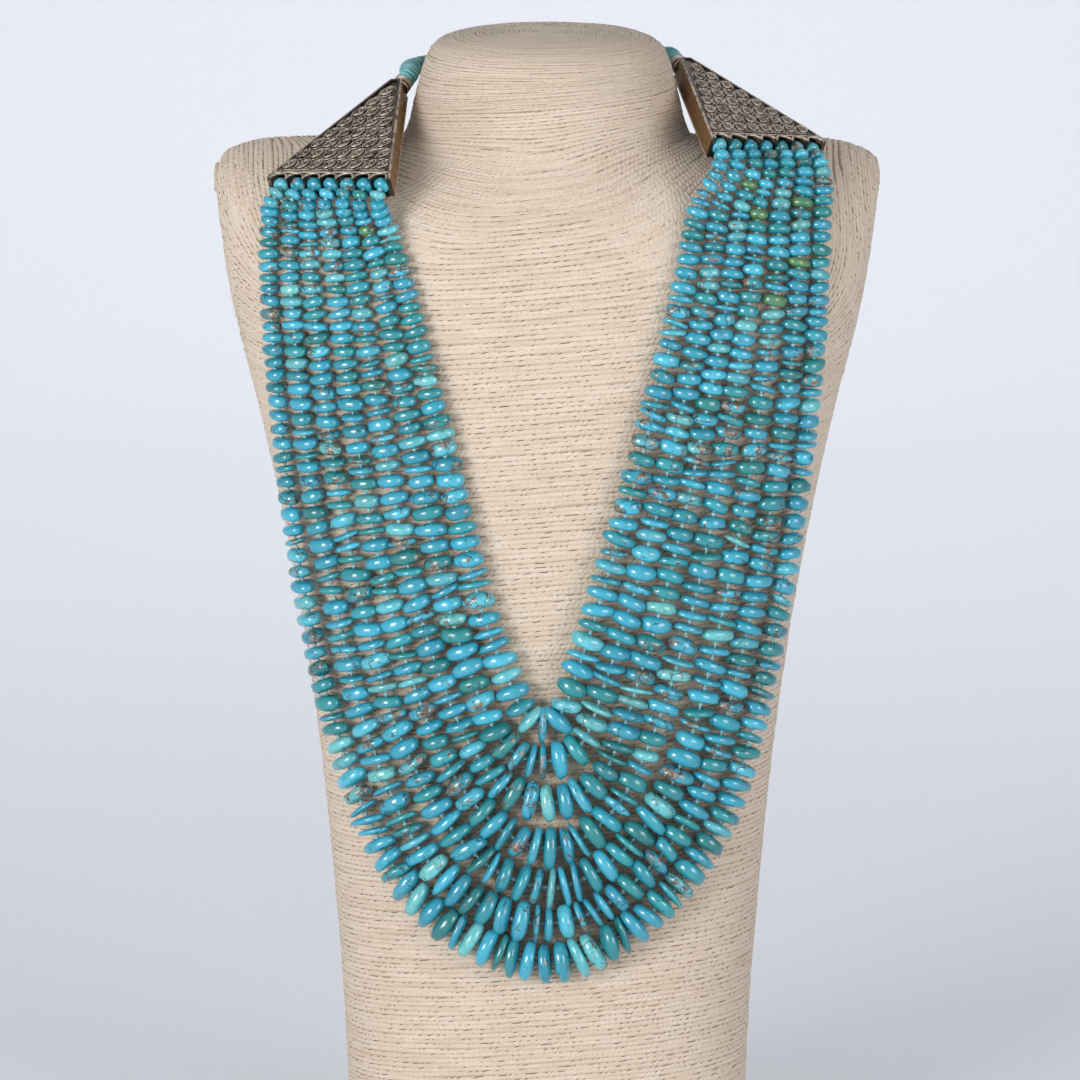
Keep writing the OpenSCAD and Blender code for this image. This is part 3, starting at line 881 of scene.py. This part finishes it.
strings = {
    "nodes": ["beads_outer", "strand_2", "strand_3", "strand_4", "strand_5", "strand_6",
              "beads_inner"],
    "threads": {0: "thread_outer", 6: "thread_inner"},
    "seatGap": 0.5, "leadIn": 22, "bendPull": 9, "bendSteps": 5, "curveSteps": 2,
    "threadInside": 5, "firstBeadAt": 0.4,
    "radiusAtCap": 2.6, "radiusGrowth": 0.01, "pitchAtCap": 3.3, "pitchLow": 5.2,
    "largestFrom": 130,
    "chestTo": 322, "slopeAbove": (0, 0.3),  # how high stones lie on the chest, and the slope above
    "stiffTo": 4, "looseFrom": 16,  # how far from a cap stones sit stiffly, and hang freely
    "wide": (1.2, 1.48),  # a stone's half width as a share of its radius in the frame
    "deep": (0.84, 0.98), "wideAtCap": 1.1, "leastWide": 0.94, "sideGap": 1.12,
    "lean": 0.26, "loll": 0.14,  # how far stones lean together and each by itself, in radians
    "thin": (0.42, 0.66), "full": (0.78, 1.1),  # thickness, as shares of the spacing
    "thickAtCap": 0.9, "firstThick": 4.2, "firstDown": 0.7,
    "thinShare": (0.1, 0.3), "thinFrom": 120,  # how many are thin, at the caps and from there on
    "evenRounds": 12, "evenMost": 0.3, "evenPull": 0.4,  # how the gaps are made even
    "shapes": 12, "cornerAt": 0.86, "knot": 0.72, "threadRadius": 0.32,
    "threadDeep": tint(100, 168, 174), "threadPale": tint(172, 212, 214),
}


def chestFront(x, z):  # millimetres
    hit = bustSkin.ray_cast(Vector((x * mm, -0.3, z * mm)), Vector((0, 1, 0)))
    return hit[0].y / mm if hit[0] else 0


def chestSlope(x, z, reach=3.0):
    return ((chestFront(x + reach, z) - chestFront(x - reach, z)) / (2 * reach),
            (chestFront(x, z + reach) - chestFront(x, z - reach)) / (2 * reach))


def laidOn(x, z, radius):
    dx, dz = chestSlope(x, z)
    lift = (radius + strings["seatGap"]) * math.sqrt(1 + dx * dx + dz * dz)
    return Vector((x, chestFront(x, z) - lift, z))


def beadRadius(s):
    return strings["radiusAtCap"] + strings["radiusGrowth"] * s


def capExit(side, number, y):
    across = (number - 3) * caps["holePitch"] * (1 if side == "left" else -1)
    return (place[side] @ Vector((across, y, caps["thick"] / 2))) / mm


def throughCaps(number, middles):  # with the thread's two ends inside the caps
    inside = strings["threadInside"]
    return [capExit("left", number, inside)] + middles + [capExit("right", number, inside)]


def bendFrom(side, number, chest, ahead):
    a, inside = (capExit(side, number, strings[key]) for key in ("firstBeadAt", "threadInside"))
    b = a + strings["bendPull"] * (a - inside).normalized()
    c = chest + strings["bendPull"] * (chest - ahead).normalized()
    steps = strings["bendSteps"]
    return [(1 - t) ** 3 * a + 3 * (1 - t) ** 2 * t * b + 3 * (1 - t) * t * t * c + t ** 3 * chest
            for t in (k / steps for k in range(steps))]


def stringLine(number):
    flat = roundCurve([Vector((x, 0, z)) for x, z in routes[number]], strings["curveSteps"])
    run = runOf(flat)
    chest = [laidOn(p.x, p.z, beadRadius(min(s, run[-1] - s) + strings["leadIn"]))
             for p, s in zip(flat, run)]
    return (bendFrom("left", number, chest[0], chest[1]) + chest
            + bendFrom("right", number, chest[-1], chest[-2])[::-1])


def beadPitch(s):
    first, low = strings["pitchAtCap"], strings["pitchLow"]
    return first + (low - first) * min(1, s / strings["largestFrom"])


def beadPlaces(whole):  # the spacing grows evenly down to where the largest beads begin
    first, low, start = strings["pitchAtCap"], strings["pitchLow"], strings["largestFrom"]
    growth = (low - first) / start
    small = math.log(low / first) / growth

    def at(n):
        if n < small:
            return first * (math.exp(growth * n) - 1) / growth
        return start + (n - small) * low
    full = small + (whole / 2 - start) / low
    count = round(full)
    near = [at(i * full / count) for i in range(count + 1)]
    return near + [whole - s for s in near[-2::-1]]


def evenGaps(places, thicks):  # how far each stone shifts so that thick ones get more room
    shifts = [0.0] * len(places)
    for again in range(strings["evenRounds"]):
        for i in range(1, len(places) - 1):
            before, after = (places[k + 1] + shifts[k + 1] - places[k] - shifts[k]
                             - (thicks[k] + thicks[k + 1]) / 2 for k in (i - 1, i))
            most = strings["evenMost"] * (places[i + 1] - places[i])
            shift = shifts[i] + strings["evenPull"] * (after - before)
            shifts[i] = min(most, max(-most, shift))
    return shifts


def layOutBeads():
    chance = random.Random(41)
    beads = []
    few, many = strings["thinShare"]
    stiff, loose = strings["stiffTo"], strings["looseFrom"]
    wideAtCap, thickAtCap, loll = (strings[key] for key in ("wideAtCap", "thickAtCap", "loll"))
    for number in range(len(routes)):
        line = stringLine(number)
        run = runOf(line)
        places = beadPlaces(run[-1])
        fromCaps = [min(s, run[-1] - s) for s in places]
        frees = [smooth((far - stiff) / (loose - stiff)) for far in fromCaps]
        middles = throughCaps(number, [atLength(line, run, s) for s in places])
        lean = chance.uniform(0, 50)
        thicks = []
        for fromCap, free in zip(fromCaps, frees):
            thin = chance.random() < few + (many - few) * smooth(fromCap / strings["thinFrom"])
            share = chance.uniform(*strings["thin" if thin else "full"])
            thicks.append(beadPitch(fromCap) * (thickAtCap + (share - thickAtCap) * free))
        shifts = evenGaps(places, thicks)
        # the stones at both ends fill the caps' scallops
        thicks[0] = thicks[-1] = strings["firstThick"]
        shifts[0], shifts[-1] = -strings["firstDown"], strings["firstDown"]
        for i, s in enumerate(places):
            along = (middles[i + 2] - middles[i]).normalized()
            p = middles[i + 1] + along * shifts[i]
            dx, dz = chestSlope(p.x, p.z) if p.z < strings["chestTo"] else strings["slopeAbove"]
            out = Vector((dx, -1, dz)).normalized()
            out = (out - along * out.dot(along)).normalized()
            radius, free = beadRadius(fromCaps[i]), frees[i]
            wide = wideAtCap + (chance.uniform(*strings["wide"]) - wideAtCap) * free
            beads.append({
                "string": number, "at": p, "along": along, "out": out, "side": along.cross(out),
                "fromCap": fromCaps[i], "thick": thicks[i], "leastWide": radius * strings["leastWide"],
                "wide": radius * wide, "deep": radius * chance.uniform(*strings["deep"]),
                "tilt": free * (strings["lean"] * noise.noise(Vector((lean + s / 14, number, 0)))
                                + chance.uniform(-loll, loll)),
                "nod": free * chance.uniform(-loll, loll),
                "shape": chance.randrange(strings["shapes"]), "flip": chance.random() < 0.5,
                "stone": (chance.random(), chance.random(), chance.random()),
            })
    tree = KDTree(len(beads))
    for i, bead in enumerate(beads):
        tree.insert(bead["at"], i)
    tree.balance()
    for again in range(2):  # wide stones give way to those of the strings beside them
        for bead in beads:
            for p, j, gap in tree.find_range(bead["at"], 15):
                near = beads[j]
                apart = near["at"] - bead["at"]
                beside = abs(apart.dot(bead["along"])) < 0.45 * (bead["thick"] + near["thick"])
                if beside and near["string"] != bead["string"]:
                    room = abs(apart.dot(bead["side"])) * strings["sideGap"]
                    over = bead["wide"] + near["wide"] - room
                    if over > 0:
                        bead["wide"] = max(bead["leastWide"], bead["wide"] - over / 2)
    return beads


def makeBeadShapes():  # drilled stones, one unit in radius, their hole along Z
    chance = random.Random(7)
    shapes = []
    for number in range(strings["shapes"]):
        bpy.ops.mesh.primitive_uv_sphere_add(segments=14, ring_count=9, radius=1)
        stone = bpy.context.object
        mesh = stone.data
        with editing("DESELECT"):
            bpy.ops.mesh.select_mode(type="VERT")
        for v in mesh.vertices:
            v.select = abs(v.co.z) > 0.999
        with editing(None):
            bpy.ops.mesh.delete(type="VERT")
        blunt = chance.uniform(0.55, 0.88)  # how flat the two faces are
        seed = Vector((number * 9.1, 0, 0))
        for v in mesh.vertices:
            flat = math.hypot(v.co.x, v.co.y)
            if abs(v.co.z) > 0.9:
                v.co.x *= 0.55
                v.co.y *= 0.55
                v.co.z *= 0.93
            v.co.z = math.copysign(abs(v.co.z) ** blunt, v.co.z) * (1 if flat < 0.5 else 0.97)
            v.co *= 1 + 0.10 * noise.noise(v.co * 1.1 + seed)
            v.co.z *= 1 + 0.16 * noise.noise(Vector((v.co.x, v.co.y, 0)) * 1.3 + seed * 2)
        with editing(None):
            bpy.ops.mesh.select_mode(type="EDGE")
            bpy.ops.mesh.select_non_manifold()
            bpy.ops.mesh.bridge_edge_loops()
            bpy.ops.mesh.select_all(action="SELECT")
            if number % 4 == 3:  # a broken corner
                turn = chance.uniform(0, 6.28)
                away = Vector((math.cos(turn), math.sin(turn), chance.uniform(-0.9, 0.9))).normalized()
                bpy.ops.mesh.bisect(plane_co=away * strings["cornerAt"], plane_no=away,
                                    use_fill=True, clear_outer=True)
                bpy.ops.mesh.select_all(action="SELECT")
            bpy.ops.mesh.normals_make_consistent(inside=False)
        bpy.ops.object.shade_smooth_by_angle(angle=math.radians(50))
        shapes.append(stone)
    return shapes


turquoise = {
    "teal": tint(38, 121, 117), "sea": tint(46, 148, 156), "blue": tint(50, 158, 187),
    "bright": tint(74, 183, 210), "pale": tint(118, 194, 191), "olive": tint(92, 128, 54),
    "shade": tint(18, 62, 84), "vein": tint(30, 46, 48),
    "matrix": tint(88, 74, 60), "rust": tint(118, 94, 58), "ash": tint(140, 132, 120),
}


def makeStonePaint():
    paint = Paint("turquoise")
    stone = paint.add("ShaderNodeAttribute", {"attribute_name": "stone"}).other("Vector")
    hue = paint.add("ShaderNodeSeparateXYZ", {}, {0: stone})
    shade, matrix = hue.other("Y"), hue.other("Z") - 0.5
    where = paint.shifted(paint.places(), stone, 3.0)
    cloud = paint.grain(where, 190, 4.0, 0.6)
    mottle = paint.grain(where, 620, 3.0, 0.6)
    colour = paint.add("ShaderNodeValToRGB", {"stops": [
        (0.0, turquoise["teal"]), (0.2, turquoise["sea"]), (0.45, turquoise["blue"]),
        (0.74, turquoise["bright"]), (0.93, turquoise["pale"]), (1.0, turquoise["olive"])]},
        {0: hue + (cloud - 0.5) * 0.18})
    colour = paint.over(colour, turquoise["sea"], mottle, 0.35, 0.7, 0.4)
    colour = paint.over(colour, turquoise["teal"], cloud, 0.52, 0.75, 0.5)
    colour = paint.over(colour, paint.mix(0.65, colour, turquoise["shade"]), shade, 0.0, 1.0, 0.42)
    # brown matrix in some of the stones, and dark hairlines round it
    spread = paint.grain(where, 260, 4.0, 0.65)
    host = paint.ranged(spread + matrix * 0.40, 0.70, 0.755)
    earth = paint.over(turquoise["matrix"], turquoise["ash"], mottle, 0.4, 0.62)
    earth = paint.over(earth, turquoise["rust"], paint.grain(where, 900), 0.55, 0.7)
    colour = paint.mix(host, colour, earth)
    cracks = paint.add("ShaderNodeTexVoronoi", {"feature": "DISTANCE_TO_EDGE"},
                       {"Vector": paint.shifted(where, cloud, 0.004), "Scale": 210})
    line = paint.ranged(cracks, 0.015, 0.055, 1.0, 0.0) * paint.ranged(spread + matrix * 0.3, 0.5, 0.66)
    height = (1 - line) + (1 - host) * 0.8 + mottle * 0.35
    return paint.done({"Base Color": paint.mix(line * 0.8, colour, turquoise["vein"]),
                       "Roughness": paint.ranged(host, 0.0, 1.0, 0.26, 0.55),
                       "Coat Weight": 0.75, "Coat Roughness": 0.07,
                       "Normal": paint.bump(height, 0.35, 0.00025)})


def makeThreadPaint():
    paint = Paint("knottedThread")
    ply = paint.grain(paint.places(), 2200)
    colour = paint.over(strings["threadDeep"], strings["threadPale"], ply, 0.35, 0.7)
    return paint.done({"Base Color": colour, "Roughness": 0.42, "Sheen Weight": 0.2,
                       "Normal": paint.bump(ply, 0.6, 0.0002)})


def axes(bead):
    return Matrix((bead["side"], bead["out"], bead["along"])).transposed().to_4x4()


def beadFrame(bead):
    tilt = Matrix.Rotation(bead["tilt"], 4, "Y") @ Matrix.Rotation(bead["nod"], 4, "X")
    size = Matrix.Diagonal((bead["wide"], bead["deep"], bead["thick"] / 2, 1))
    spin = Matrix.Rotation(math.pi if bead["flip"] else 0, 4, "Z")
    return Matrix.Scale(mm, 4) @ Matrix.Translation(bead["at"]) @ axes(bead) @ tilt @ size @ spin


def makeStrings():
    beads = layOutBeads()
    shapes = makeBeadShapes()
    stonePaint, threadPaint = makeStonePaint(), makeThreadPaint()
    bpy.ops.mesh.primitive_ico_sphere_add(subdivisions=2, radius=1)
    knot = bpy.context.object
    for v in knot.data.vertices:
        v.co *= 1 + 0.22 * noise.noise(v.co * 2.2)
    for number, node in enumerate(strings["nodes"]):
        row = [bead for bead in beads if bead["string"] == number]
        stones = []
        for bead in row:
            stone = copyOf(shapes[bead["shape"]], "stone", beadFrame(bead))
            mark = stone.data.attributes.new("stone", "FLOAT_VECTOR", "POINT")
            hue, shade, matrix = bead["stone"]
            if hue > 0.93:  # olive only near the caps
                hue = 1.05 if bead["fromCap"] < 60 and hue > 0.97 else 0.6
            mark.data.foreach_set("vector", [hue, shade, matrix] * len(stone.data.vertices))
            stones.append(stone)
        piece = joined(stones, f"stones{number + 1}")
        coat(piece, stonePaint)
        knots = []
        for a, b in zip(row, row[1:]):
            size = strings["knot"] * (1 + 0.25 * noise.noise(a["at"] * 3.3))
            knots.append(copyOf(knot, "knot", Matrix.Scale(mm, 4)
                                @ Matrix.Translation((a["at"] + b["at"]) / 2) @ axes(a)
                                @ Matrix.Diagonal((size, size, size * 0.8, 1))))
        middles = throughCaps(number, [b["at"] for b in row])
        thread = wire("thread", [[p * mm for p in middles]], strings["threadRadius"] * mm)
        knotPiece = joined([thread] + knots, f"knots{number + 1}")
        coat(knotPiece, threadPaint)
        for made, slot in ((piece, "turquoise"), (knotPiece, "thread")):
            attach(made, "root")
        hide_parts(node)
        if number in strings["threads"]:
            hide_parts(strings["threads"][number])
        print(f"string {number + 1}: {len(row)} stones, {len(piece.data.polygons)} faces")
    for spare in shapes + [knot]:
        bpy.data.objects.remove(spare)


makeStrings()
print("strings hung")

# studio
studio = {
    "floor": tint(238, 240, 245), "fleck": tint(200, 204, 212), "air": tint(238, 240, 246),
    "floorReach": 4, "wallAt": 2.4, "wallRise": 3, "bend": 0.45, "bendSteps": 16, "ambient": 0.44,
    # where each light stands, its size and power, and the point it faces
    "keyLight": ((-1.1, -1.5, 0.42), 0.75, 25, (0, 0, 0.22)),
    "fillLight": ((1.3, -1.35, 0.46), 0.9, 14, (0, 0, 0.22)),
    "wallLight": ((0, 1.5, 1.9), 1.6, 15, (0, 2.4, 0.4)),
}


def makeStudio():
    bpy.ops.mesh.primitive_plane_add(size=2 * studio["floorReach"],
                                     location=(0, studio["wallAt"] - studio["floorReach"], 0))
    sweep = bpy.context.object
    sweep.name = "studioSweep"
    bpy.ops.object.transform_apply(location=True)
    with editing("DESELECT"):
        bpy.ops.mesh.select_mode(type="EDGE")
    for e in sweep.data.edges:
        e.select = all(sweep.data.vertices[i].co.y > studio["wallAt"] - 0.01 for i in e.vertices)
    with editing(None):
        bpy.ops.mesh.extrude_region_move(TRANSFORM_OT_translate={"value": (0, 0, studio["wallRise"])})
    rounding = sweep.modifiers.new("round", "BEVEL")
    rounding.width = studio["bend"]
    rounding.segments = studio["bendSteps"]
    bpy.ops.object.modifier_apply(modifier="round")
    bpy.ops.object.shade_smooth()
    paint = Paint("studioPaper")
    fine = paint.grain(paint.places(), 260, 3.0)
    colour = paint.over(studio["floor"], studio["fleck"], fine, 0.3, 0.7, 0.06)
    coat(sweep, paint.done({"Base Color": colour, "Roughness": 0.85,
                            "Normal": paint.bump(fine, 0.05, 0.0003)}))
    for name in ("keyLight", "fillLight", "wallLight"):
        at, size, power, target = studio[name]
        bpy.ops.object.light_add(type="AREA", location=at)
        lamp = bpy.context.object
        lamp.name = name
        lamp.data.size = size
        lamp.data.energy = power
        aim(lamp, at, target)
    bpy.context.scene.view_settings.view_transform = "Standard"
    world = bpy.data.worlds.new("studioAir")
    bpy.context.scene.world = world
    world.use_nodes = True
    air = world.node_tree.nodes["Background"]
    air.inputs["Color"].default_value = studio["air"]
    air.inputs["Strength"].default_value = studio["ambient"]


makeStudio()
print("studio set")
